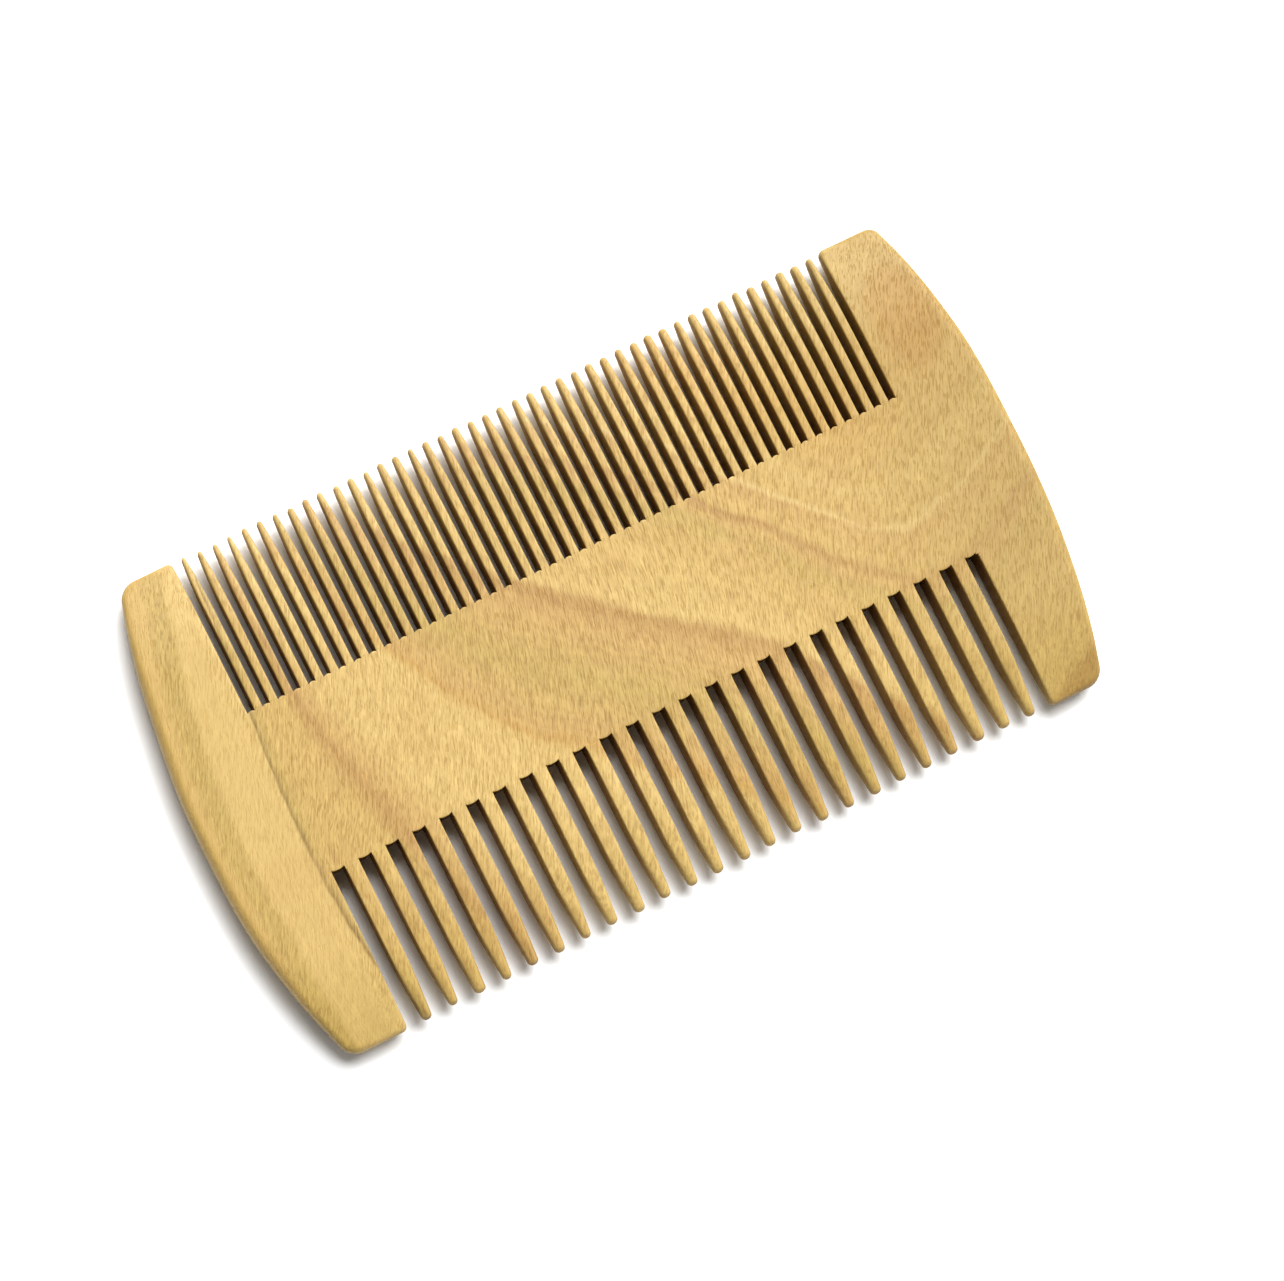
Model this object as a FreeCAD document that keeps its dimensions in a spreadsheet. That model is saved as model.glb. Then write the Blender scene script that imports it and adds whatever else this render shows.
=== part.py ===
import FreeCAD, Part
import os

import Sketcher

# A double-sided beard comb, sawn and sanded from one thin board of wood.
#
# The comb lies flat. +X runs along its length, +Y points to the fine teeth, -Y to the coarse
# teeth, and +Z is up through the board. The origin is under the middle of the comb, on the
# surface that it lies on.
#
# The board is split along its own natural lines: the root line of each row of teeth and the
# inside edge of each end guard. The regions meet face to face.

doc = FreeCAD.newDocument("BeardComb")


# ---- Sizes: the driving dimensions, in millimetres

SIZES = [
    ("comb_length", 98.0, "overall length, between the two bowed ends"),
    ("comb_width", 55.0, "overall width, from tip to tip"),
    ("board_thickness", 4.3, "thickness of the board"),
    ("guard_width", 9.9, "least width of an end guard, at the middle of its bow"),
    ("left_bow", 4.4, "how far the left end bows out"),
    ("right_bow", 3.9, "how far the right end bows out"),
    ("fine_tooth_length", 17.9, "fine tooth, from root to tip"),
    ("fine_pitch", 1.777, "from one fine slot to the next"),
    ("fine_slot_width", 0.875, "width of a fine slot"),
    ("fine_taper_length", 6.0, "stretch over which a fine tooth narrows"),
    ("fine_tip_width", 0.5, "width of a fine tooth where its rounded tip starts"),
    ("fine_tip_height", 0.2, "height of the rounded tip of a fine tooth"),
    ("coarse_tooth_length", 18.1, "coarse tooth, from root to tip"),
    ("coarse_pitch", 3.146, "from one coarse slot to the next"),
    ("coarse_slot_width", 1.53, "width of a coarse slot"),
    ("coarse_taper_length", 6.0, "stretch over which a coarse tooth narrows"),
    ("coarse_tip_width", 0.9, "width of a coarse tooth where its rounded tip starts"),
    ("coarse_tip_height", 0.36, "height of the rounded tip of a coarse tooth"),
    ("coarse_row_shift", 0.34, "how far the coarse row sits towards +X"),
    ("bevel_length", 12.0, "stretch over which the board thins towards its long edges"),
    ("tip_thickness", 1.5, "thickness left at the tips of the teeth"),
    ("left_fine_corner", 2.2, "outer corner radius, left end, fine side"),
    ("left_coarse_corner", 2.0, "outer corner radius, left end, coarse side"),
    ("right_fine_corner", 1.3, "outer corner radius, right end, fine side"),
    ("right_coarse_corner", 2.0, "outer corner radius, right end, coarse side"),
    ("edge_round", 0.65, "rounding along the outer edges of the guards"),
]

# ---- Layout: what follows from those sizes

LAYOUT = [
    ("fine_tip_y", "=Sizes.comb_width / 2", "tips of the fine teeth"),
    ("coarse_tip_y", "=-Sizes.comb_width / 2", "tips of the coarse teeth"),
    ("fine_root_y", "=fine_tip_y - Sizes.fine_tooth_length", "root line of the fine teeth"),
    ("coarse_root_y", "=coarse_tip_y + Sizes.coarse_tooth_length", "root line of the coarse teeth"),
    ("row_room", "=Sizes.comb_length - 2 * Sizes.guard_width", "length left for the teeth"),
    ("fine_count", "=floor((row_room - Sizes.fine_slot_width) / Sizes.fine_pitch)",
     "as many fine teeth as fit"),
    ("coarse_count", "=floor((row_room - Sizes.coarse_slot_width) / Sizes.coarse_pitch)",
     "as many coarse teeth as fit"),
    ("fine_tooth_width", "=Sizes.fine_pitch - Sizes.fine_slot_width", "fine tooth at its root"),
    ("coarse_tooth_width", "=Sizes.coarse_pitch - Sizes.coarse_slot_width",
     "coarse tooth at its root"),
    ("fine_first_x", "=-(fine_count - 1) / 2 * Sizes.fine_pitch", "middle of the first fine tooth"),
    ("coarse_first_x", "=Sizes.coarse_row_shift - (coarse_count - 1) / 2 * Sizes.coarse_pitch",
     "middle of the first coarse tooth"),
    ("fine_row_span", "=(fine_count - 1) * Sizes.fine_pitch", "first to last fine tooth"),
    ("fine_row_half", "=(fine_count * Sizes.fine_pitch + Sizes.fine_slot_width) / 2",
     "half the fine row, end slots included"),
    ("coarse_row_half", "=(coarse_count * Sizes.coarse_pitch + Sizes.coarse_slot_width) / 2",
     "half the coarse row, end slots included"),
    ("left_fine_x", "=-fine_row_half", "inside of the left guard, fine side"),
    ("right_fine_x", "=fine_row_half", "inside of the right guard, fine side"),
    ("left_coarse_x", "=Sizes.coarse_row_shift - coarse_row_half",
     "inside of the left guard, coarse side"),
    ("right_coarse_x", "=Sizes.coarse_row_shift + coarse_row_half",
     "inside of the right guard, coarse side"),
    ("left_corner_x", "=-Sizes.comb_length / 2 + Sizes.left_bow", "outer corners, left end"),
    ("right_corner_x", "=Sizes.comb_length / 2 - Sizes.right_bow", "outer corners, right end"),
    ("left_bow_radius", "=(Sizes.comb_width ^ 2 / 4 + Sizes.left_bow ^ 2) / 2 / Sizes.left_bow",
     "radius of the left end"),
    ("right_bow_radius", "=(Sizes.comb_width ^ 2 / 4 + Sizes.right_bow ^ 2) / 2 / Sizes.right_bow",
     "radius of the right end"),
    ("underside_z", "0", "the surface that the comb lies on"),
    ("middle_z", "=Sizes.board_thickness / 2", "middle plane of the board"),
    ("bevel_drop", "=(Sizes.board_thickness - Sizes.tip_thickness) / 2", "wood taken off each face"),
    ("bevel_radius", "=(Sizes.bevel_length ^ 2 + bevel_drop ^ 2) / 2 / bevel_drop",
     "radius of the bevel, which leaves the flat face without a step"),
    ("fine_bevel_y", "=fine_tip_y - Sizes.bevel_length", "where the fine side starts to thin"),
    ("coarse_bevel_y", "=coarse_tip_y + Sizes.bevel_length", "where the coarse side starts to thin"),
    ("upper_tip_z", "=Sizes.board_thickness - bevel_drop", "top face at the tips"),
    ("lower_tip_z", "=bevel_drop", "underside at the tips"),
    ("above_z", "=Sizes.board_thickness * 2", "clear above the board"),
    ("below_z", "=-Sizes.board_thickness", "clear below the board"),
    ("past_fine_y", "=fine_tip_y + Sizes.board_thickness", "clear past the fine tips"),
    ("past_coarse_y", "=coarse_tip_y - Sizes.board_thickness", "clear past the coarse tips"),
    ("safe_edge_round", "=min(Sizes.edge_round; Sizes.tip_thickness * 0.45)",
     "edge rounding, no more than the thin edge can take"),
]


def add_sheet(name, rows):
    """One row for each size: what it is, its value, and the alias that it is read by."""
    sheet = doc.addObject("Spreadsheet::Sheet", name)
    for line, (alias, content, meaning) in enumerate(rows, start=1):
        sheet.set(f"A{line}", meaning)
        sheet.set(f"B{line}", str(content))
        sheet.setAlias(f"B{line}", alias)
    doc.recompute()


def size(reference):
    """The value behind a reference such as Sizes.fine_pitch."""
    sheet, alias = reference.split(".")
    return float(doc.getObject(sheet).get(alias))


# ---- Drawing and cutting

START, END = 1, 2  # the two ends of a sketched edge
NEAR = 1e-4  # millimetres within which two places count as one


def new_body(name):
    body = doc.addObject("PartDesign::Body", name)
    body.Label = name
    return body


def origin_plane(body, role):
    return next(plane for plane in body.Origin.OriginFeatures if plane.Role == role)


def new_sketch(body, name, role):
    sketch = body.newObject("Sketcher::SketchObject", name)
    sketch.AttachmentSupport = (origin_plane(body, role), [""])
    sketch.MapMode = "FlatFace"
    return sketch


def arc_between(start, end, radius, turn):
    """The short arc from start to end. It turns left where turn is 1 and right where it is -1."""
    chord = end - start
    to_left = FreeCAD.Vector(-chord.y, chord.x, 0).normalize()
    reach = max(radius ** 2 - (chord.Length / 2) ** 2, 0) ** 0.5
    centre = (start + end) * 0.5 + to_left * (turn * reach)
    first, last = (start, end) if turn > 0 else (end, start)
    circle = Part.Circle(centre, FreeCAD.Vector(0, 0, 1), radius)
    return Part.ArcOfCircle(circle, circle.parameter(first), circle.parameter(last))


def draw_outline(sketch, corners, arcs=None):
    """A closed outline through the corners, each fixed by its two references.

    arcs gives, for the edge that leaves a corner, the reference to its radius and its turn:
    1 to the left, -1 to the right. Every other edge is straight.
    """
    arcs = arcs or {}
    points = [FreeCAD.Vector(size(across), size(along), 0) for across, along in corners]
    ends = []
    for number, start in enumerate(points):
        end = points[(number + 1) % len(points)]
        if number in arcs:
            radius, turn = arcs[number]
            edge = sketch.addGeometry(arc_between(start, end, size(radius), turn), False)
            ends.append((edge, START, END) if turn > 0 else (edge, END, START))
        else:
            edge = sketch.addGeometry(Part.LineSegment(start, end), False)
            ends.append((edge, START, END))
    for number, (edge, _, arrives) in enumerate(ends):
        next_edge, next_leaves, _ = ends[(number + 1) % len(ends)]
        sketch.addConstraint(Sketcher.Constraint("Coincident", edge, arrives, next_edge, next_leaves))
    for (edge, leaves, _), (across, along) in zip(ends, corners):
        for kind, reference in (("DistanceX", across), ("DistanceY", along)):
            row = sketch.addConstraint(Sketcher.Constraint(kind, edge, leaves, size(reference)))
            sketch.setExpression(f"Constraints[{row}]", reference)
    for number, (radius, _) in arcs.items():
        row = sketch.addConstraint(Sketcher.Constraint("Radius", ends[number][0], size(radius)))
        sketch.setExpression(f"Constraints[{row}]", radius)


def pad_board(body, sketch):
    """Gives an outline drawn on the underside the thickness of the board."""
    pad = body.newObject("PartDesign::Pad", body.Name + "_board")
    pad.Profile = sketch
    pad.setExpression("Length", "Sizes.board_thickness")
    doc.recompute()
    return pad


def bevel(body, sides):
    """Thins the wood towards its tips, on both faces, as a sanding drum does.

    sides is "fine", "coarse" or both: the long edges that the piece reaches.
    """
    sketch = new_sketch(body, body.Name + "_bevel_outline", "YZ_Plane")
    for side in sides:
        start, tip, past = f"Layout.{side}_bevel_y", f"Layout.{side}_tip_y", f"Layout.past_{side}_y"
        top_turn = -1 if side == "fine" else 1
        for face, tip_z, clear, turn in (
            ("Sizes.board_thickness", "Layout.upper_tip_z", "Layout.above_z", top_turn),
            ("Layout.underside_z", "Layout.lower_tip_z", "Layout.below_z", -top_turn),
        ):
            corners = [(start, face), (tip, tip_z), (past, tip_z), (past, clear), (start, clear)]
            draw_outline(sketch, corners, {0: ("Layout.bevel_radius", turn)})
    before = body.Shape.Volume
    cut = body.newObject("PartDesign::Pocket", body.Name + "_bevel")
    cut.Profile = sketch
    cut.Midplane = True
    cut.setExpression("Length", "Sizes.comb_length * 2")
    doc.recompute()
    if body.Shape.Volume >= before:
        raise RuntimeError(f"the bevel took nothing off {body.Name}")


def round_edges(body, name, base, edges, radius):
    """A fillet whose radius is a reference."""
    fillet = body.newObject("PartDesign::Fillet", name)
    fillet.Base = (base, [f"Edge{number}" for number in edges])
    fillet.setExpression("Radius", radius)
    doc.recompute()
    return fillet


# ---- Spine: the plain bar between the two rows of teeth

def make_spine():
    body = new_body("spine")
    sketch = new_sketch(body, "spine_outline", "XY_Plane")
    left, right = "Layout.left_fine_x", "Layout.right_fine_x"
    bottom, top = "Layout.coarse_root_y", "Layout.fine_root_y"
    draw_outline(sketch, [(left, bottom), (right, bottom), (right, top), (left, top)])
    pad_board(body, sketch)
    return body


# ---- End guards: solid ends with a bowed outside, level with the tips of the teeth

def upright_edge_near(shape, across, along):
    """The number of the upright edge that stands at a place on the outline."""
    for number, edge in enumerate(shape.Edges, start=1):
        ends = [vertex.Point for vertex in edge.Vertexes]
        upright = len(ends) == 2 and abs(ends[0].z - ends[1].z) > size("Layout.middle_z")
        if upright and all(abs(p.x - across) + abs(p.y - along) < NEAR for p in ends):
            return number
    raise RuntimeError(f"no upright edge at {across:.3f}, {along:.3f}")


def bow_edges(shape):
    """The upper and lower edges of the bowed end. They run on round the corners without a break."""
    reach = size("Sizes.comb_length") / 2
    found = []
    for number, edge in enumerate(shape.Edges, start=1):
        middle = edge.valueAt((edge.FirstParameter + edge.LastParameter) / 2)
        if abs(abs(middle.x) - reach) < NEAR:
            found.append(number)
    return found


def make_guard(side):
    body = new_body(f"{side}_guard")
    sketch = new_sketch(body, f"{side}_guard_outline", "XY_Plane")
    inner_fine, inner_coarse = f"Layout.{side}_fine_x", f"Layout.{side}_coarse_x"
    outer = f"Layout.{side}_corner_x"
    top, root, bottom = "Layout.fine_tip_y", "Layout.coarse_root_y", "Layout.coarse_tip_y"
    corners = [(inner_fine, top), (outer, top), (outer, bottom),
               (inner_coarse, bottom), (inner_coarse, root), (inner_fine, root)]
    turn = 1 if side == "left" else -1
    draw_outline(sketch, corners, {1: (f"Layout.{side}_bow_radius", turn)})
    base = pad_board(body, sketch)
    for name, along in (("fine", top), ("coarse", bottom)):
        edge = upright_edge_near(base.Shape, size(outer), size(along))
        base = round_edges(body, f"{side}_guard_{name}_corner", base, [edge],
                           f"Sizes.{side}_{name}_corner")
    bevel(body, ("fine", "coarse"))
    round_edges(body, f"{side}_guard_rim", body.Tip, bow_edges(body.Shape), "Layout.safe_edge_round")
    return body


# ---- Teeth: parallel from the root, then narrowing along an arc to a rounded tip

TOOTH_LAYOUT = [
    ("{row}_root_left", "=-{row}_tooth_width / 2", "left side at the root"),
    ("{row}_root_right", "={row}_tooth_width / 2", "right side at the root"),
    ("{row}_tip_left", "=-Sizes.{row}_tip_width / 2", "left side at the tip"),
    ("{row}_tip_right", "=Sizes.{row}_tip_width / 2", "right side at the tip"),
    ("{row}_shoulder_y", "={row}_tip_y {inward} Sizes.{row}_taper_length", "where narrowing starts"),
    ("{row}_dome_y", "={row}_tip_y {inward} Sizes.{row}_tip_height", "where the rounded tip starts"),
    ("{row}_side_inset", "=({row}_tooth_width - Sizes.{row}_tip_width) / 2", "wood off each side"),
    ("{row}_side_run", "=Sizes.{row}_taper_length - Sizes.{row}_tip_height", "length of that arc"),
    ("{row}_side_radius", "=({row}_side_run ^ 2 + {row}_side_inset ^ 2) / 2 / {row}_side_inset",
     "its radius, so that it leaves the straight side without a corner"),
    ("{row}_dome_radius", "=Sizes.{row}_tip_width ^ 2 / 8 / Sizes.{row}_tip_height "
     "+ Sizes.{row}_tip_height / 2", "radius of the rounded tip"),
]


def tooth_rows(row, inward):
    """The layout of one tooth, worked out the same way for both rows."""
    return [tuple(text.format(row=row, inward=inward) for text in line) for line in TOOTH_LAYOUT]


def draw_tooth(body, row, turn):
    """One tooth of a row, centred on X = 0, with turn as the way round its outline goes."""
    sketch = new_sketch(body, body.Name + "_outline", "XY_Plane")
    left, right = f"Layout.{row}_root_left", f"Layout.{row}_root_right"
    tip_left, tip_right = f"Layout.{row}_tip_left", f"Layout.{row}_tip_right"
    root, shoulder, dome = f"Layout.{row}_root_y", f"Layout.{row}_shoulder_y", f"Layout.{row}_dome_y"
    corners = [(left, root), (right, root), (right, shoulder),
               (tip_right, dome), (tip_left, dome), (left, shoulder)]
    side, tip = f"Layout.{row}_side_radius", f"Layout.{row}_dome_radius"
    draw_outline(sketch, corners, {2: (side, turn), 3: (tip, turn), 4: (side, turn)})
    return sketch


def make_coarse_tooth(number):
    body = new_body(f"coarse_tooth_{number:02d}")
    pad_board(body, draw_tooth(body, "coarse", -1))
    bevel(body, ("coarse",))
    place = f"Layout.coarse_first_x + {number - 1} * Sizes.coarse_pitch"
    body.setExpression("Placement.Base.x", place)
    return body


def make_fine_teeth():
    """The fine row in one node, because there are too many teeth for a node each."""
    body = new_body("fine_teeth")
    body.AllowCompound = True
    sketch = draw_tooth(body, "fine", 1)
    tooth = pad_board(body, sketch)
    row = body.newObject("PartDesign::LinearPattern", "fine_teeth_row")
    row.Originals = [tooth]
    row.Direction = (sketch, ["H_Axis"])
    row.setExpression("Length", "Layout.fine_row_span")
    row.setExpression("Occurrences", "Layout.fine_count")
    body.Tip = row
    doc.recompute()
    bevel(body, ("fine",))
    body.setExpression("Placement.Base.x", "Layout.fine_first_x")
    return body


# ---- Build, check and write

add_sheet("Sizes", SIZES)
add_sheet("Layout", LAYOUT + tooth_rows("fine", "-") + tooth_rows("coarse", "+"))

pieces = [make_spine(), make_guard("left"), make_guard("right"), make_fine_teeth()]
coarse_count = round(size("Layout.coarse_count"))
pieces += [make_coarse_tooth(number) for number in range(1, coarse_count + 1)]
doc.recompute()

for item in doc.Objects:
    if {"Invalid", "Error"} & set(item.State):
        raise RuntimeError(f"{item.Label} did not compute: {item.State}")
for piece in pieces:
    if piece.Shape.isNull() or not piece.Shape.isValid():
        raise RuntimeError(f"{piece.Label} has no valid shape")

os.makedirs("parts", exist_ok=True)
for piece in pieces:
    piece.Shape.exportStep(f"parts/{piece.Label}.step")
    print(f"{piece.Label}: {len(piece.Shape.Solids)} solid(s), {piece.Shape.Volume:.1f} mm3")
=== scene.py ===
import math

import bpy
import numpy as np
from mathutils import Matrix, Vector


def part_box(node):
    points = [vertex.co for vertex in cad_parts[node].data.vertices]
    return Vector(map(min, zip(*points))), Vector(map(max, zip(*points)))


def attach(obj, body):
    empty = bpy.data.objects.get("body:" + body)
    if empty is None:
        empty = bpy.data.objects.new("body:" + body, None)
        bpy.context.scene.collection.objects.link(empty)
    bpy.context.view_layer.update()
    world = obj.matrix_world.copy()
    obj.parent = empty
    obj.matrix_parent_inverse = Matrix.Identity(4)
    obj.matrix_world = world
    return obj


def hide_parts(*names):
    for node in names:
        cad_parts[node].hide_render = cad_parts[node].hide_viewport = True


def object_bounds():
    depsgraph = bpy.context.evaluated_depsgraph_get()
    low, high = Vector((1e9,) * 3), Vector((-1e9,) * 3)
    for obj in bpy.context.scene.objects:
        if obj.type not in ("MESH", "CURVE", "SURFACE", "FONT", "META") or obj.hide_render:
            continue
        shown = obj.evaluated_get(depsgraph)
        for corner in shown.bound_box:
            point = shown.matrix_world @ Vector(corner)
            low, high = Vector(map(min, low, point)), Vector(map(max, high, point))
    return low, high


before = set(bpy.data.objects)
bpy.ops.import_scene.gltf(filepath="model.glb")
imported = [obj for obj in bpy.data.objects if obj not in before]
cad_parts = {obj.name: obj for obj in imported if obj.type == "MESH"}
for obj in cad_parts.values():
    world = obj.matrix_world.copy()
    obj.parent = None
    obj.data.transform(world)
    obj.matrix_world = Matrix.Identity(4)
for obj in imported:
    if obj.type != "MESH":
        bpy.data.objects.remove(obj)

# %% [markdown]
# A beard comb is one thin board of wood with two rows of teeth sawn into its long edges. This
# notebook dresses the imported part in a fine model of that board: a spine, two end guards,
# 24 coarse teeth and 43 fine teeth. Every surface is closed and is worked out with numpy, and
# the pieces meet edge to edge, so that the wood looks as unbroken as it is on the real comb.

LOW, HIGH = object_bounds()
MM = 0.001  # one millimetre in scene units

spine_low, spine_high = (np.array(corner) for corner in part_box("spine"))
left_low, left_high = (np.array(corner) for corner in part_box("left_guard"))
right_low, right_high = (np.array(corner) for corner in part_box("right_guard"))
fine_low, fine_high = (np.array(corner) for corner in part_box("fine_teeth"))
COARSE_NAMES = sorted(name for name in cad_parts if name.startswith("coarse_tooth_"))
coarse_boxes = [tuple(np.array(corner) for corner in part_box(name)) for name in COARSE_NAMES]

THICKNESS = spine_high[2] - spine_low[2]
MIDDLE_Z = (spine_high[2] + spine_low[2]) / 2
FINE_ROOT, COARSE_ROOT = spine_high[1], spine_low[1]
FINE_TIP, COARSE_TIP = fine_high[1], coarse_boxes[0][0][1]
print(f"{len(COARSE_NAMES)} coarse teeth, board {THICKNESS / MM:.2f} mm thick")
print(f"box from {LOW} to {HIGH}")

# %% [markdown]
# A comb like this is thinned towards both long edges, as by a sanding drum, so that the teeth
# slide into hair. The thinning leaves the flat face without a step, along an arc. It is one
# formula of the distance from the comb's middle line, because the spine, the guards and the
# teeth are one board on the real comb, and so they share one face.

# %% How thick the board is at any distance from its middle
TIP_THICKNESS = 1.5 * MM
BEVEL_LENGTH = 12.0 * MM
BEVEL_DROP = (THICKNESS - TIP_THICKNESS) / 2
BEVEL_RADIUS = (BEVEL_LENGTH ** 2 + BEVEL_DROP ** 2) / 2 / BEVEL_DROP


def half_thickness(y):
    """Half the board's thickness at y.

    In words: half the full thickness, less how far a circle of the bevel's radius has fallen
    away from its tangent, counted from where the bevel starts.
    """
    into_fine = np.asarray(y) - (FINE_TIP - BEVEL_LENGTH)
    into_coarse = (COARSE_TIP + BEVEL_LENGTH) - np.asarray(y)
    into = np.clip(np.maximum(into_fine, into_coarse), 0, BEVEL_LENGTH)
    return THICKNESS / 2 - (BEVEL_RADIUS - np.sqrt(BEVEL_RADIUS ** 2 - into ** 2))


for place in (0, 20 * MM, FINE_TIP):
    print(f"at y = {place / MM:5.1f} mm the board is {2 * half_thickness(place) / MM:.2f} mm thick")

# %% [markdown]
# Every piece here is a ring of points, repeated along the piece with its size changing: a grid
# with one way round and one way along. The two ends are closed with a fan to a middle point. A
# cube could be cut and bevelled to the same shape, but a grid keeps nearly every face four-sided
# and lets a formula give each size, so a piece stays closed whatever the numbers are.

# %% A closed piece from a grid of rings
SMOOTH_UNDER = math.radians(38)  # softer bends than this are shaded as one curved surface
JOIN_WITHIN = 0.0005 * MM  # points closer than this are one point


def faces_of_rings(rings, around, first=0):
    """Quads between neighbouring rings, and a fan of triangles over each end.

    In words: point k of ring j joins point k + 1, and the same two points of ring j + 1. The
    fans use the two middle points that follow the rings.
    """
    ring, step = np.meshgrid(np.arange(rings - 1), np.arange(around), indexing="ij")
    here, beside = ring * around + step, ring * around + (step + 1) % around
    quads = np.stack([here, beside, beside + around, here + around], axis=-1).reshape(-1, 4)
    turn = np.arange(around)
    after = (turn + 1) % around
    last = (rings - 1) * around
    start, end = rings * around, rings * around + 1
    opening = np.stack([after, turn, np.full(around, start)], axis=-1)
    closing = np.stack([last + turn, last + after, np.full(around, end)], axis=-1)
    return quads + first, np.vstack([opening, closing]) + first


def joined_up(points, faces):
    """Joins points that fall together, and sorts the faces by how many corners are left.

    In words: points are equal when they agree to half a micrometre. A quad with one pinched
    edge becomes a triangle; a face pinched to a line is dropped.
    """
    grid = np.round(points / JOIN_WITHIN).astype(np.int64)
    _, kept, joined = np.unique(grid, axis=0, return_index=True, return_inverse=True)
    faces = joined.ravel()[faces]
    pinched = faces == np.roll(faces, -1, axis=1)
    whole, once = faces[pinched.sum(axis=1) == 0], faces[pinched.sum(axis=1) == 1]
    first = np.argmax(once == np.roll(once, -1, axis=1), axis=1)[:, None]
    turned = (first + np.arange(faces.shape[1])) % faces.shape[1]
    once = np.take_along_axis(once, turned, axis=1)[:, 1:]
    return points[kept], whole, once


def add_piece(name, points, quads, triangles=None):
    """A mesh object at the origin from points and faces, smooth but for its crisp corners."""
    fans = np.empty((0, 3), dtype=int) if triangles is None else triangles
    shared, quads_kept, halves = joined_up(points, quads)
    _, fans_kept, _ = joined_up(points, fans)
    triangles_kept = np.vstack([halves, fans_kept])
    corners = np.concatenate([quads_kept.ravel(), triangles_kept.ravel()])
    sizes = np.concatenate([np.full(len(quads_kept), 4), np.full(len(triangles_kept), 3)])
    starts = np.concatenate([[0], np.cumsum(sizes)[:-1]])
    mesh = bpy.data.meshes.new(name)
    mesh.vertices.add(len(shared))
    mesh.vertices.foreach_set("co", shared.astype(np.float32).ravel())
    mesh.loops.add(len(corners))
    mesh.loops.foreach_set("vertex_index", corners.astype(np.int32))
    mesh.polygons.add(len(sizes))
    mesh.polygons.foreach_set("loop_start", starts.astype(np.int32))
    mesh.polygons.foreach_set("use_smooth", np.ones(len(sizes), dtype=bool))
    mesh.update(calc_edges=True)
    mesh.validate()
    mesh.set_sharp_from_angle(angle=SMOOTH_UNDER)
    piece = bpy.data.objects.new(name, mesh)
    bpy.context.scene.collection.objects.link(piece)
    return piece


def blend_between(start, end, value):
    """0 below start, 1 above end, and an even S between: t squared times (3 - 2 t)."""
    t = np.clip((np.asarray(value, dtype=float) - start) / (end - start), 0, 1)
    return t * t * (3 - 2 * t)


# %% [markdown]
# A tooth is a rounded bar. Its section is a rectangle with rounded corners, as wide as the saw
# left it, and it narrows to a blunt nose. A bevel modifier rounds every edge alike, but here
# the rounding starts at nothing at the root, where the tooth runs on into the spine, and grows
# round at the nose, so the section is drawn anew at each step along the tooth.

# %% The section of a tooth, and one tooth along its length
TOOTH_EDGE = 0.16 * MM  # rounding along a tooth's edges, from sanding
EDGE_STARTS = 0.5 * MM  # how far from the root that rounding is whole
ROOT_STEPS = np.array([0, 0.06, 0.2, 0.38, 0.55]) * MM  # rings close together at the root
CORNER_STEPS = 4


def rounded_section(half_width, half_height, rounding):
    """The ring of a rounded rectangle for each row of sizes, as (rows, points, 2).

    In words: four corner centres, each set in from its corner by the rounding, with a quarter
    circle of that radius about each, walked anticlockwise.
    """
    quarter = np.linspace(0, math.pi / 2, CORNER_STEPS + 1)
    angle = np.concatenate([quarter + corner * math.pi / 2 for corner in range(4)])
    side_x = np.repeat([1, -1, -1, 1], CORNER_STEPS + 1)
    side_y = np.repeat([1, 1, -1, -1], CORNER_STEPS + 1)
    rounding = np.asarray(rounding)[:, None]
    across = side_x * (np.asarray(half_width)[:, None] - rounding) + rounding * np.cos(angle)
    up = side_y * (np.asarray(half_height)[:, None] - rounding) + rounding * np.sin(angle)
    return np.stack([across, up], axis=-1)


def tooth_points(centre, root, tip, width, tip_width, taper, lean, nose):
    """Rings of points for one tooth, and the two middle points that close its ends.

    In words: the half width is constant up to the taper and then falls along an arc to half
    the tip width. Over the nose, both halves shrink as a quarter ellipse, to an eighth of the
    width and under a third of the height, and a fan closes what is left. The centre line leans
    sideways by a small amount that grows with the square of the way out.
    """
    towards = np.sign(tip - root)
    length = abs(tip - root)
    straight = np.linspace(ROOT_STEPS[-1], length - taper, 7)
    narrowing = np.linspace(length - taper, length - nose, 12)[1:]
    dome = length - nose + nose * np.sin(np.linspace(0, 0.97 * math.pi / 2, 9))[1:]
    out = np.concatenate([ROOT_STEPS[:-1], straight, narrowing, dome])
    drop = (width - tip_width) / 2
    run = taper - nose
    radius = (run ** 2 + drop ** 2) / 2 / drop
    into = np.clip(out - (length - taper), 0, run)
    half_width = width / 2 - (radius - np.sqrt(radius ** 2 - into ** 2))
    y = root + towards * out
    half_height = half_thickness(y)
    over_nose = np.clip((out - (length - nose)) / nose, 0, 1)
    closing = np.sqrt(1 - over_nose ** 2)
    rounding = TOOTH_EDGE * blend_between(0, EDGE_STARTS, out)
    soft = blend_between(length - taper, length - nose / 2, out)
    rounding = rounding + soft * (np.minimum(half_width, half_height) * 0.86 - rounding)
    half_width = half_width * (0.08 + 0.92 * closing)
    half_height = half_height * (0.25 + 0.75 * closing)
    rounding = np.minimum(rounding, np.minimum(half_width, half_height) * 0.98)
    ring = rounded_section(half_width, half_height, rounding)
    shift = lean * (out / length) ** 2
    rings, around = ring.shape[:2]
    points = np.empty((rings, around, 3))
    points[..., 0] = centre + shift[:, None] + ring[..., 0] * -towards
    points[..., 1] = y[:, None]
    points[..., 2] = MIDDLE_Z + ring[..., 1]
    ends = np.array([[centre, root, MIDDLE_Z], [centre + shift[-1], tip, MIDDLE_Z]])
    return np.vstack([points.reshape(-1, 3), ends]), rings, around


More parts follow.
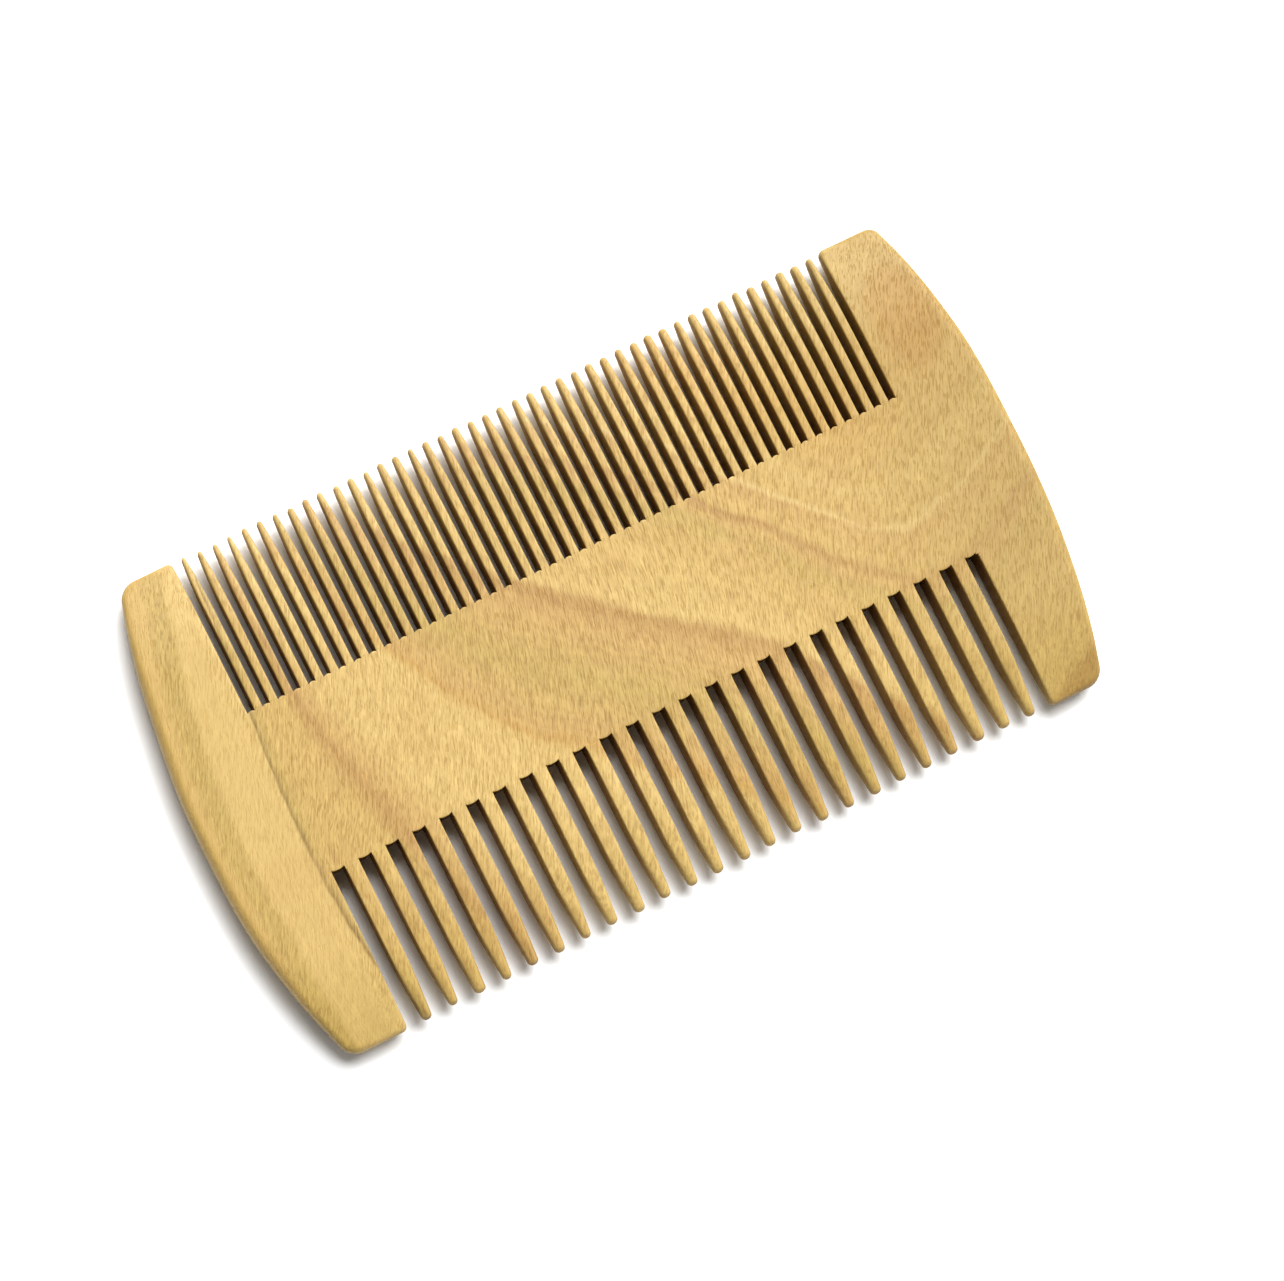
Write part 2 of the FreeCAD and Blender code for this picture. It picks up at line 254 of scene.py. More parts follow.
print(f"{4 * (CORNER_STEPS + 1)} points round a tooth, edges rounded {TOOTH_EDGE / MM:.2f} mm")

# %% [markdown]
# The fine row stands for 43 teeth in one piece, and each coarse tooth is a piece of its own.
# Saw, sander and hand make no two teeth quite alike, so each tooth gets its own small
# differences in lean, tip and reach. They come from a fixed seed, to be the same every time.

# %% Sizes of the two rows, worked out from the frame
FINE_COUNT = 43
fine_width = 0.902 * MM  # the box of the whole row doesn't tell one tooth's width
fine_pitch = (fine_high[0] - fine_low[0] - fine_width) / (FINE_COUNT - 1)
fine_centres = fine_low[0] + fine_width / 2 + fine_pitch * np.arange(FINE_COUNT)
coarse_centres = np.array([(low[0] + high[0]) / 2 for low, high in coarse_boxes])
coarse_width = coarse_boxes[0][1][0] - coarse_boxes[0][0][0]
coarse_pitch = coarse_centres[1] - coarse_centres[0]
print(f"fine pitch {fine_pitch / MM:.3f} mm, coarse pitch {coarse_pitch / MM:.3f} mm")

# %% Small differences from tooth to tooth
rng = np.random.default_rng(11)


def tooth_differences(count, lean, tip_share, reach):
    """One row of (lean, tip width factor, taper factor, tip reach) for each tooth."""
    return np.stack([rng.normal(0, lean, count),
                     1 + np.clip(rng.normal(0, tip_share, count), -2 * tip_share, 2 * tip_share),
                     1 + rng.uniform(-0.15, 0.15, count),
                     rng.uniform(-reach, 0, count)], axis=-1)


fine_differences = tooth_differences(FINE_COUNT, 0.035 * MM, 0.14, 0.22 * MM)
coarse_differences = tooth_differences(len(COARSE_NAMES), 0.05 * MM, 0.07, 0.22 * MM)
print(f"the longest and shortest coarse teeth differ by {np.ptp(coarse_differences[:, 3]) / MM:.2f} mm")

# %% The fine teeth, as one piece of 43 closed bars
FINE_TAPER, FINE_NOSE = 7.0 * MM, 0.4 * MM
FINE_TIP_WIDTH = 0.64 * MM  # in the middle of the comb
FINE_TIP_WIDEST = 0.82 * MM  # a tip stays narrower than its tooth
TIP_GROWTH = 0.003  # how much wider the tips are, for each millimetre to the right

fine_parts = []
for centre, (lean, tip_factor, taper_factor, reach) in zip(fine_centres, fine_differences):
    tip_width = min((FINE_TIP_WIDTH + TIP_GROWTH * centre) * tip_factor, FINE_TIP_WIDEST)
    fine_parts.append(tooth_points(centre, FINE_ROOT, FINE_TIP + reach, fine_width, tip_width,
                                   FINE_TAPER * taper_factor, lean, FINE_NOSE))
fine_points, fine_quads, fine_fans, used = [], [], [], 0
for points, rings, around in fine_parts:
    quads, fans = faces_of_rings(rings, around, used)
    fine_points.append(points)
    fine_quads.append(quads)
    fine_fans.append(fans)
    used += len(points)
fine_piece = add_piece("fine_teeth_wood", np.vstack(fine_points), np.vstack(fine_quads),
                       np.vstack(fine_fans))
print(f"fine teeth: {len(fine_piece.data.polygons)} faces")

# %% The coarse teeth, one piece each
COARSE_TAPER, COARSE_NOSE, COARSE_TIP_WIDTH = 7.5 * MM, 0.5 * MM, 1.1 * MM

coarse_pieces = []
for number, (centre, row) in enumerate(zip(coarse_centres, coarse_differences), start=1):
    lean, tip_factor, taper_factor, reach = row
    points, rings, around = tooth_points(centre, COARSE_ROOT, COARSE_TIP - reach, coarse_width,
                                         COARSE_TIP_WIDTH * tip_factor,
                                         COARSE_TAPER * taper_factor, lean, COARSE_NOSE)
    quads, fans = faces_of_rings(rings, around)
    coarse_pieces.append(add_piece(f"coarse_tooth_wood_{number:02d}", points, quads, fans))
print(f"coarse teeth: {len(coarse_pieces)} pieces of {len(coarse_pieces[0].data.polygons)} faces")

# %% [markdown]
# The spine is the bar that the saw left between the two rows. Its section across the comb is a
# rectangle, carried along the comb. At the end of a slot the saw cut a touch deeper in the two
# corners and the edge is eased; where a tooth grows out, the section is left crisp, so that the
# two surfaces meet with no line between them. The slots could be cut out of a bar with Boolean
# modifiers, but setting the sections closer together where a slot begins and ends keeps the
# surface a plain grid.

# %% Where the slots are
SLOT_EDGE = 0.09 * MM  # easing along the end of a slot
SLOT_HOLLOW = 0.16 * MM  # how much deeper a slot is at its corners than in its middle
SAW_HOLLOW = 0.08 * MM  # how far the blade's rim cut into the middle of the thickness
HAIR = 0.002 * MM  # how wide the step is between a tooth's root and the slot beside it
SLOT_STEPS = np.array([-0.9, -0.7, -0.4, 0, 0.4, 0.7, 0.9])  # shares of half a slot's width
FACE_INSETS = np.array([0.15, 0.6, 2.0]) * MM  # rows of points on the face, back from each root


def slots_between(centres, width, first, last):
    """(start, end) of every slot in a row: before, between and after its teeth."""
    starts = np.concatenate([[first], centres + width / 2])
    ends = np.concatenate([centres - width / 2, [last]])
    return np.stack([starts, ends], axis=-1)


def place_in_slot(x, slots):
    """(inside, across): 1 where x is in a slot, and -1 to 1 from one side of it to the other."""
    across = (x[:, None] - slots.mean(axis=1)) / (np.diff(slots, axis=1)[:, 0] / 2)
    nearest = np.take_along_axis(across, np.abs(across).argmin(axis=1)[:, None], axis=1)
    inside = np.abs(nearest) < 1 - HAIR / 2 / MM
    return inside * 1.0, nearest * inside


fine_slots = slots_between(fine_centres, fine_width, spine_low[0], spine_high[0])
coarse_slots = slots_between(coarse_centres, coarse_width, left_high[0], spine_high[0])
every_slot = np.vstack([fine_slots, coarse_slots])
starts, ends = every_slot.T[:, :, None]
across_slots = (starts + ends) / 2 + SLOT_STEPS * (ends - starts) / 2
columns = np.hstack([starts, starts + HAIR, across_slots, ends - HAIR, ends]).ravel()
columns = np.unique(np.round(np.append(columns, [spine_low[0], spine_high[0]]), 7))
print(f"{len(fine_slots)} fine slots, {len(coarse_slots)} coarse slots, {len(columns)} sections")


# %% The spine, as one section carried along the comb
def spine_section(x):
    """The ring of the spine at each x, as (columns, points, 3), anticlockwise seen along -X.

    In words: a rectangle with a quarter circle at each corner. In a slot, its upright wall lies
    back by the hollow times the square of the place across, and bulges inwards by the saw's arc.
    """
    half = THICKNESS / 2
    line = {1: FINE_ROOT, -1: COARSE_ROOT}
    ease, back, saw = {}, {}, {}
    for side, slots in ((1, fine_slots), (-1, coarse_slots)):
        inside, across = place_in_slot(x, slots)
        ease[side] = SLOT_EDGE * inside
        back[side] = line[side] - side * SLOT_HOLLOW * across ** 2
        saw[side] = SAW_HOLLOW * inside

    def corner(side, upward, turn):
        angle = np.linspace(turn, turn + math.pi / 2, CORNER_STEPS)
        y = back[side] - side * ease[side] + ease[side] * np.cos(angle)
        return y, upward * (half - ease[side]) + ease[side] * np.sin(angle)

    def flat(upward):
        fine_rows = FINE_ROOT - SLOT_HOLLOW - FACE_INSETS
        coarse_rows = COARSE_ROOT + SLOT_HOLLOW + FACE_INSETS
        levels = np.concatenate([fine_rows, coarse_rows[::-1]])
        y = np.broadcast_to(levels[::upward], (len(x), len(levels)))
        return y, np.full(y.shape, upward * half)

    def wall(side):
        height = np.linspace(-0.8, 0.8, 5) * side
        y = back[side] - side * saw[side] * (1 - height ** 2)
        return y, np.broadcast_to(height * half, y.shape)

    quarter = math.pi / 2
    ring = [wall(1), corner(1, 1, 0), flat(1), corner(-1, 1, quarter),
            wall(-1), corner(-1, -1, 2 * quarter), flat(-1), corner(1, -1, 3 * quarter)]
    y = np.concatenate([part[0] for part in ring], axis=1)
    z = np.concatenate([part[1] for part in ring], axis=1)
    return np.stack([np.broadcast_to(x[:, None], y.shape), y, MIDDLE_Z + z], axis=-1)


section = spine_section(columns)
rings, around = section.shape[:2]
middle_y = (FINE_ROOT + COARSE_ROOT) / 2
caps = np.array([[columns[0], middle_y, MIDDLE_Z], [columns[-1], middle_y, MIDDLE_Z]])
spine_quads, spine_fans = faces_of_rings(rings, around)
spine_points = np.vstack([section.reshape(-1, 3), caps])
spine_piece = add_piece("spine_wood", spine_points, spine_quads, spine_fans)
print(f"spine: {len(spine_piece.data.polygons)} faces in {rings} sections")

# %% [markdown]
# An end guard is the solid wood beyond the last slot. It shields the fine teeth in a pocket,
# and its outside is bowed and eased to sit well in the palm. The surface is built as an onion:
# rings of the guard's own outline, set in from the rim over a rounded edge and then drawn in
# to a line along the guard's middle. An outline pushed up and bevelled would round the thin ends
# as much as the thick bow, and here the rounding differs from point to point.

# %% The outline of a guard, seen from above
PALM_EDGE = 0.95 * MM  # rounding along the bow, where the board is thick
END_EDGE = 0.6 * MM  # rounding round the thin ends
INNER_EDGE = 0.4 * MM  # rounding beside the last tooth's tip
INNER_CORNER = 0.6 * MM  # radius of the inside corner, from above
CORE_REACH = 24.0 * MM  # how far the middle line runs from the comb's middle
BESIDE_ROOT = np.array([-0.5, -0.3, -0.12, 0, 0.12, 0.3, 0.5]) * MM
ROOT_LEVELS = np.concatenate([FINE_ROOT + BESIDE_ROOT, COARSE_ROOT + BESIDE_ROOT])
HALF_WIDTH = (FINE_TIP - COARSE_TIP) / 2
BELLY = 0.06  # how far the wall swells at half thickness, as a share of its edge's rounding


def bow_radius(bow):
    """The radius of an arc from tip to tip of the comb that rises by the bow in its middle."""
    return (HALF_WIDTH ** 2 + bow ** 2) / 2 / bow


def arc_points(centre, radius, start, end, count):
    """Points along an arc, from one angle to another."""
    angle = np.linspace(start, end, count)
    return np.stack([centre[0] + radius * np.cos(angle), centre[1] + radius * np.sin(angle)], axis=-1)


def bow_corner(apex, radius, corner, end):
    """The small arc that joins the bow to the guard's end, tangent to both, as (centre, tilt).

    In words: its centre lies one corner radius inside the end, and the bow's radius less its
    own from the bow's centre. tilt is the angle at which it leaves the bow.
    """
    level = end - math.copysign(corner, end)
    across = math.sqrt((radius - corner) ** 2 - level ** 2)
    return (apex - radius + across, level), math.atan2(level, across)


def guard_outline(apex, bow, inner_fine, inner_coarse, fine_corner, coarse_corner):
    """The outline of a guard whose bow faces +X, anticlockwise from above, from the bow's foot."""
    half, radius, quarter = HALF_WIDTH, bow_radius(bow), math.pi / 2
    top, top_tilt = bow_corner(apex, radius, fine_corner, half)
    foot, foot_tilt = bow_corner(apex, radius, coarse_corner, -half)
    levels = np.unique(np.concatenate([np.linspace(-CORE_REACH, CORE_REACH, 65), ROOT_LEVELS]))
    bow_side = np.stack([apex - radius + np.sqrt(radius ** 2 - levels ** 2), levels], axis=-1)
    fine_side = levels[levels >= COARSE_ROOT][::-1]
    coarse_side = levels[levels <= COARSE_ROOT][::-1]
    inner = INNER_CORNER
    return np.vstack([
        bow_side,
        arc_points(top, fine_corner, top_tilt, quarter, 8),
        arc_points((inner_fine + inner, half - inner), inner, quarter, 2 * quarter, 7),
        np.stack([np.full(len(fine_side), inner_fine), fine_side], axis=-1),
        np.stack([np.full(len(coarse_side), inner_coarse), coarse_side], axis=-1),
        arc_points((inner_coarse + inner, inner - half), inner, 2 * quarter, 3 * quarter, 7),
        arc_points(foot, coarse_corner, -quarter, foot_tilt, 8),
    ])


print(f"{len(ROOT_LEVELS)} of a guard's levels stand beside the roots of the teeth")

# %% The rounding round a guard, and its rings
def guard_rounding(outline, inner):
    """How far the edge is rounded at each point of the outline.

    In words: on the bow the palm rounding, easing to the end rounding past 15 mm; on the
    inside next to nothing against the spine, and a tooth's rounding beside the slots.
    """
    x, y = outline.T
    outer = PALM_EDGE + (END_EDGE - PALM_EDGE) * blend_between(15 * MM, 24 * MM, np.abs(y))
    clear = np.maximum(y - FINE_ROOT, COARSE_ROOT - y)
    inside = TOOTH_EDGE * blend_between(0, EDGE_STARTS, clear)
    inside = inside + (INNER_EDGE - TOOTH_EDGE) * blend_between(22 * MM, FINE_TIP, np.abs(y))
    return inside + (outer - inside) * blend_between(inner + 0.8 * MM, inner + 3 * MM, x)


def outward_of(outline):
    """The unit normal at each point of a closed anticlockwise outline.

    In words: the mean of the directions of the two edges that meet there, turned to the right.
    """
    edge = np.roll(outline, -1, axis=0) - outline
    edge /= np.linalg.norm(edge, axis=1, keepdims=True) + 1e-12
    along = edge + np.roll(edge, 1, axis=0)
    along /= np.linalg.norm(along, axis=1, keepdims=True)
    return np.stack([along[:, 1], -along[:, 0]], axis=-1)


def guard_rings(outline, inner, apex, bow):
    """The guard's surface as (rings, points, 3), from under its middle line, over the rim, to above.

    In words: a share of the way from the middle line to the rounded edge, at the board's half
    thickness; then a quarter circle over the edge; the wall; and the same again in reverse.
    """
    radius = bow_radius(bow)
    level = np.clip(outline[:, 1], -CORE_REACH, CORE_REACH)
    core_x = (inner + apex - radius + np.sqrt(radius ** 2 - level ** 2)) / 2
    core = np.stack([core_x, level], axis=-1)
    rounding, outward = guard_rounding(outline, inner)[:, None], outward_of(outline)
    shoulder = outline - outward * rounding
    rings = []
    for share in (0, 0.2, 0.4, 0.6, 0.8, 0.93, 1):
        place = core + share * (shoulder - core)
        rings.append((place, half_thickness(place[:, 1])))
    for turn in np.radians([16, 33, 50, 70, 90]):
        place = outline - outward * rounding * (1 - math.sin(turn))
        rings.append((place, half_thickness(place[:, 1]) - rounding[:, 0] * (1 - math.cos(turn))))
    upper = np.stack([np.column_stack([place, height]) for place, height in rings])
    belly = upper[-1:] * [1, 1, 0]
    belly[0, :, :2] += outward * rounding * BELLY
    lower = upper * [1, 1, -1]
    return np.concatenate([lower, belly, upper[::-1]])


print(f"palm edge {PALM_EDGE / MM:.2f} mm, easing to {END_EDGE / MM:.2f} mm round the thin ends")

# %% [markdown]
# The two bows look sanded by hand, and aren't quite the arcs of the plan. Each is an arc
# first, and is then pushed in or out by smooth bumps a few tenths of a millimetre high.

# %% How the hand that sanded the two bows left them
def hand_shaping_right(y):
    """How far the right bow stands outside its arc: 0 at the middle, 0.45 mm on the fine side."""
    return 0.45 * MM * blend_between(0, 14 * MM, y)


def hand_shaping_left(y):
    """How far the left bow stands outside its arc.

    In words: 0.4 mm on the coarse side, less a bell 0.2 mm high and 6 mm wide at y = 12 mm.
    """
    fuller = 0.4 * MM * blend_between(0, 14 * MM, -y)
    return fuller - 0.2 * MM * np.exp(-((y - 12 * MM) / (6 * MM)) ** 2)


print(f"at y = 12 mm the left bow stands {-hand_shaping_left(12 * MM) / MM:.2f} mm inside its arc")


# %% The two guards
LEFT_BOW, RIGHT_BOW = 4.4 * MM, 3.9 * MM  # how far each bow rises over its ends
LEFT_CORNERS = (2.2 * MM, 2.0 * MM)  # radii at the fine and the coarse end of the bow
RIGHT_CORNERS = (1.3 * MM, 2.0 * MM)
last_slot_end = coarse_centres[-1] + coarse_pitch - coarse_width / 2


def make_guard(name, facing, bow, inner_fine, inner_coarse, corners, shaping):
    """A guard whose bow faces +X (facing 1) or -X (facing -1), sized by distances from x = 0."""
    apex = HIGH[0]
    outline = guard_outline(apex, bow, inner_fine, inner_coarse, *corners)
    surface = guard_rings(outline, inner_fine, apex, bow)
    points = surface.reshape(-1, 3).copy()
    reach = blend_between(inner_fine + 2 * MM, apex, points[:, 0])
    points[:, 0] += reach * shaping(points[:, 1])
    points *= [facing, 1, 1]
    points[:, 2] += MIDDLE_Z
    quads, _ = faces_of_rings(*surface.shape[:2])
    if facing < 0:
        quads = quads[:, ::-1]
    piece = add_piece(name, points, quads)
    print(f"{name}: {len(piece.data.polygons)} faces")
    return piece


left_guard_piece = make_guard("left_guard_wood", -1, LEFT_BOW, -spine_low[0], -left_high[0],
                              LEFT_CORNERS, hand_shaping_left)
right_guard_piece = make_guard("right_guard_wood", 1, RIGHT_BOW, spine_high[0], last_slot_end,
                               RIGHT_CORNERS, hand_shaping_right)
print(f"the last coarse slot ends at x = {last_slot_end / MM:.3f} mm")

# %% [markdown]
# Every piece rides on the one body, and stands in for the plain solids of the same region.

# %% Which piece stands for which region
pieces = {spine_piece: ["spine"], left_guard_piece: ["left_guard"],
          right_guard_piece: ["right_guard"], fine_piece: ["fine_teeth"]}
pieces.update({piece: [name] for piece, name in zip(coarse_pieces, COARSE_NAMES)})
for piece, nodes in pieces.items():
    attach(piece, "root")
    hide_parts(*nodes)
print(f"{len(pieces)} pieces stand for {len(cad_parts)} regions")

# %% [markdown]
# The finish is the wood itself, sanded and thinly waxed. A wood pattern could be painted on as an
# image, but a pattern worked out from the place in the solid runs through the thickness, so the
# walls of the slots show the same rings and fibres as the faces, and neighbouring pieces agree.
# The shader is written as sums. A small class wraps a socket, so that 1 - mask adds a Math node.

# %% Sockets that can be added and multiplied
class Grain:
    """A number, colour or vector that varies from place to place, held as the socket that gives it."""

    def __init__(self, socket):
        self.socket = socket

    @staticmethod
    def node(tree, kind, settings, sockets, output=0):
        """Adds one node: its settings first, then its sockets by name or number; gives one output."""
        made = tree.nodes.new(kind)
        for name, value in settings.items():
            if name == "stops":
                put_stops(made.color_ramp, value)
            else:
                setattr(made, name, value)
        for key, value in sockets.items():
            if isinstance(value, Grain):
                tree.links.new(value.socket, made.inputs[key])
            else:
                made.inputs[key].default_value = value
        return Grain(made.outputs[output])

    def sum_with(self, operation, *values):
        """A Math node of one operation on the given values, in their order."""
        return Grain.node(self.socket.id_data, "ShaderNodeMath", {"operation": operation},
                          dict(enumerate(values)))

    def __add__(self, other):
        return self.sum_with("ADD", self, other)

    def __radd__(self, other):
        return self.sum_with("ADD", other, self)

    def __sub__(self, other):
        return self.sum_with("SUBTRACT", self, other)

    def __rsub__(self, other):
        return self.sum_with("SUBTRACT", other, self)

    def __mul__(self, other):
        return self.sum_with("MULTIPLY", self, other)

    def __rmul__(self, other):
        return self.sum_with("MULTIPLY", other, self)

    def __truediv__(self, other):
        return self.sum_with("DIVIDE", self, other)

    def __pow__(self, other):
        return self.sum_with("POWER", self, other)

    def __rpow__(self, other):
        return self.sum_with("POWER", other, self)

    def least(self, other):
        return self.sum_with("MINIMUM", self, other)

    def most(self, other):
        return self.sum_with("MAXIMUM", self, other)

    def size(self):
        """The number without its sign: the root of its square."""
        return (self ** 2) ** 0.5

    def between(self, start, end):
        """0 at start, 1 at end and an even S in between."""
        return Grain.node(self.socket.id_data, "ShaderNodeMapRange",
                          {"interpolation_type": "SMOOTHSTEP"},
                          {"Value": self, "From Min": start, "From Max": end})


def put_stops(ramp, stops):
    """Gives a colour ramp the stops (position, colour) in order."""
    while len(ramp.elements) < len(stops):
        ramp.elements.new(1.0)
    for element, (position, colour) in zip(ramp.elements, stops):
        element.position = position
        element.color = colour


# %% [markdown]
# The wood is a pale yellow-brown with pinkish and olive bands. Its shades are written as they
# look under studio light, because a maker matches wood by eye against a lit sample.

# %% Shades of the wood
STUDIO_GAIN = 1.9  # how many times brighter the lights show a surface than its own shade
SCREEN_POWER = 2.4  # the power of the screen's curve
SCREEN_TOE = 0.055  # how far the curve's foot is lifted


def shade(red, green, blue):
    """A surface colour from the shade it shows in the studio's light, given as 0 to 255.

    In words: the screen's curve is undone, and the lights' gain divided out.
    """
    shown = (np.array([red, green, blue]) / 255 + SCREEN_TOE) / (1 + SCREEN_TOE)
    return (*(shown ** SCREEN_POWER / STUDIO_GAIN), 1.0)


TAN = shade(213, 177, 98)
PALE = shade(224, 190, 112)
LIGHT = shade(230, 198, 126)
PINK = shade(211, 171, 97)
OLIVE = shade(203, 171, 90)
ORANGE = shade(211, 168, 86)
BROWN = shade(194, 151, 80)
DARK_RING = shade(160, 129, 62)
print("tan wood as a surface colour:", np.round(TAN[:3], 3))

# %% [markdown]
# Board wood shows growth rings where the saw crossed them. Here they are nested bows: a pointed
# U at the right, where the saw only just touched a ring, and steeper and steeper lines to the
# left, which stand almost upright in the left guard. The ring number is a sum of simple curves
# of the place, loosened with noise, because no tree grows evenly.

# %% The place in the wood, in millimetres
wood = bpy.data.materials.new("waxed_pale_wood")
wood.use_nodes = True
tree = wood.node_tree
tree.nodes.clear()
place = Grain.node(tree, "ShaderNodeTexCoord", {}, {}, "Object")
in_mm = Grain.node(tree, "ShaderNodeVectorMath", {"operation": "SCALE"}, {0: place, "Scale": 1 / MM})
x = Grain.node(tree, "ShaderNodeSeparateXYZ", {}, {0: in_mm}, "X")
y = Grain.node(tree, "ShaderNodeSeparateXYZ", {}, {0: in_mm}, "Y")
z = Grain.node(tree, "ShaderNodeSeparateXYZ", {}, {0: in_mm}, "Z")


def noise(vector, size, detail=2.0, roughness=0.5):
    """Noise about zero, from about -0.5 to 0.5, whose lumps are about as large as size."""
    lumps = Grain.node(tree, "ShaderNodeTexNoise", {},
                       {"Vector": vector, "Scale": 1 / size, "Detail": detail, "Roughness": roughness})
    return lumps - 0.5


def stretched(across, along, deep):
    """A place for a pattern, made of three sums."""
    return Grain.node(tree, "ShaderNodeCombineXYZ", {}, {"X": across, "Y": along, "Z": deep})


print(f"{len(tree.nodes)} nodes give the place in the wood")

# %% The number of the growth ring at any place
RING_TIP = 33.0  # mm along the comb, where the rings point
TIP_ROUND = 36  # square of the radius, in mm, over which a ring rounds its point
LEFT_SLOPE, RIGHT_SLOPE = 0.85, 0.62  # rings crossed for each mm along the comb
TIP_SPREAD = 0.4  # rings more for each mm, over the 20 mm left of the point
CROWDING = 6  # rings more where the far left begins to crowd
UPRIGHT_CURL = 0.034  # how the upright rings bow, in rings for each square mm


def rounded_slope(distance):
    """A straight slope of one whose start is rounded: a hyperbola less its own first value."""
    return (distance ** 2 + TIP_ROUND) ** 0.5 - math.sqrt(TIP_ROUND)


left_of_tip = (RING_TIP - x).most(0)
right_of_tip = (x - RING_TIP).most(0)
far_left = (2 - x).most(0) / 24
bow_left = LEFT_SLOPE * rounded_slope(left_of_tip) + TIP_SPREAD * left_of_tip.least(20)
bow_left = bow_left + CROWDING * far_left ** 4
bow_right = RIGHT_SLOPE * rounded_slope(right_of_tip)
upright = (0 - x).between(30, 42)
height = upright * UPRIGHT_CURL * (y + 8) ** 2 - y * (1 - upright)
wander = 4.0 * noise(in_mm, 11) + 1.2 * noise(in_mm, 3.0)
rings = bow_left + bow_right + height + wander * (1 + 2 * upright) + 0.8 * z
print(f"{len(tree.nodes)} nodes with the ring number, whose rings point at x = {RING_TIP} mm")

# %% [markdown]
# Wood grown in spring is paler than wood grown in autumn, and one year isn't like the next. So
# the ring number looks up its colour in a list of bands, from the point of the U outwards.

# %% The colour of each ring
RING_FIRST, RING_LAST = -20.0, 200.0
BANDS = [
    (-18, TAN), (-6, ORANGE), (2.0, TAN), (3.6, PALE), (4.4, TAN), (7.2, TAN), (7.6, LIGHT), (8.1, PINK),
    (12.6, TAN), (13.6, BROWN), (14.8, PINK), (17.0, OLIVE), (20, TAN), (30.4, PALE), (31.4, BROWN),
    (35, PINK), (42, OLIVE), (50, PINK), (51.6, ORANGE), (52.6, PALE), (72, PALE),
    (82, PINK), (86, BROWN), (92, TAN), (112, TAN), (119, OLIVE), (121.6, DARK_RING), (123, PALE),
    (160, PALE), (167, OLIVE), (177, OLIVE), (186, TAN)]
RING_SPAN = RING_LAST - RING_FIRST
ring_stops = [((ring - RING_FIRST) / RING_SPAN, band) for ring, band in BANDS]
ring_colour = Grain.node(tree, "ShaderNodeValToRGB", {"stops": ring_stops},
                         {"Fac": (rings - RING_FIRST) / RING_SPAN})
print(f"{len(BANDS)} bands of growth rings")

# %% [markdown]
# Fibres are noise drawn out along the grain. The grain runs along the teeth and leans a little
# to one side, less so near the comb's middle. Two sizes of fibre, sparse pores, large soft
# patches and fine lines along the rings together give the look of a sawn face.

# %% The way of the grain
END_LEAN = 0.5  # how far the grain leans near the ends, in mm across for each mm along
LESS_IN_MIDDLE = 0.26  # how much less it leans near the middle
BELL_MIDDLE, BELL_WIDTH = 4, 15  # mm: where the lean is least, and how wide that bell is
BELL_BASE = 2.718  # a bell curve is this number to the power of minus a square

lean = END_LEAN - LESS_IN_MIDDLE * (BELL_BASE ** (0 - ((x - BELL_MIDDLE) / BELL_WIDTH) ** 2))
across = x - y * lean + 2.0 * noise(in_mm, 16)
along = y + END_LEAN * x
print(f"the grain leans by {END_LEAN}, and by {LESS_IN_MIDDLE} less near the middle")

# %% The fibres, the pores and the patches
def drawn_out(fineness, drawn, detail, roughness, shift=0):
    """Noise drawn out along the grain: finer across it (lumps a mm) than along it."""
    drawn_place = stretched(across * fineness + shift, along * drawn, z * fineness)
    return noise(drawn_place, 1.0, detail, roughness)


fine_fibres = drawn_out(6.5, 0.55, 2.0, 0.6)
fibres = drawn_out(3.0, 0.30, 3.0, 0.65)
pores = drawn_out(6.0, 0.75, 1.0, 0.5, shift=40).between(0.03, 0.16)
patches = noise(in_mm, 9, 3.0)
ring_lines = noise(stretched(rings * 0.75, 0.02 * y, 0), 1.0, 3.0, 0.6)
print(f"{len(tree.nodes)} nodes with the fibres and pores")

# %% [markdown]
# The saw leaves the slot walls rough and a little browner, and painted shade darkens them more,
# most of all near their roots. The edges are painted paler, as a painted highlight. The walls and
# the edges are found from the depth under the board's face, because the face is flat and then an arc.

# %% Depth under the face in mm, where the wood is sawn, and its painted shade and highlight
into_bevel = (y.size() - (FINE_TIP - BEVEL_LENGTH) / MM).most(0)
face_height = THICKNESS / 2 / MM - into_bevel ** 2 / (2 * BEVEL_RADIUS / MM)
depth = face_height - (z - MIDDLE_Z / MM).size()
in_guard = x.size().between(40.0, 42.0)
sawn = depth.between(0.08, 0.5) * (1 - in_guard)
# painted shade on the slot walls, strongest near the roots of the teeth
painted_root_shade = 1 - y.size().between(10.0, 19.0)
# a painted highlight: the rounded edges are coloured paler
painted_edge_highlight = depth.between(0.005, 0.05) * (1 - depth.between(0.10, 0.20)) * (1 - in_guard)
speckled = rings.between(158, 168) * (1 - rings.between(178, 190))
quiet = (0 - x).between(38.8, 40.5) * (1 - 0.8 * speckled)
print(f"{len(tree.nodes)} nodes with the depth and what it tells")


def mixed(kind, factor, first, second):
    """One colour over another by a factor, with the Mix node's given way of mixing."""
    return Grain.node(tree, "ShaderNodeMix", {"data_type": "RGBA", "blend_type": kind},
                      {0: factor, 6: first, 7: second}, 2)


# %% [markdown]
# The colour starts from the rings. Patches drift it to pink or olive, the fibres darken and
# lighten it, more in blue than in red, as brown does, and the right end of the board is darker,
# partly in the wood's own tone and partly as painted shade, with a small knot in its fine corner.

# %% The wood's colour
# the right end's colour multiplier: partly the wood's own darker tone, partly painted shade
RIGHT_END_TONE_AND_SHADE = (0.85, 0.83, 0.75, 1.0)  # what the wood is multiplied by, where it is darker
KNOT = (0.94, 0.82, 0.62, 1.0)
PORE = (0.70, 0.60, 0.50, 1.0)
# the slot walls' colour multiplier: a little the sawn wood's browner tone, mostly painted shade
SAWN_TONE_AND_SHADE = (0.62, 0.50, 0.42, 1.0)

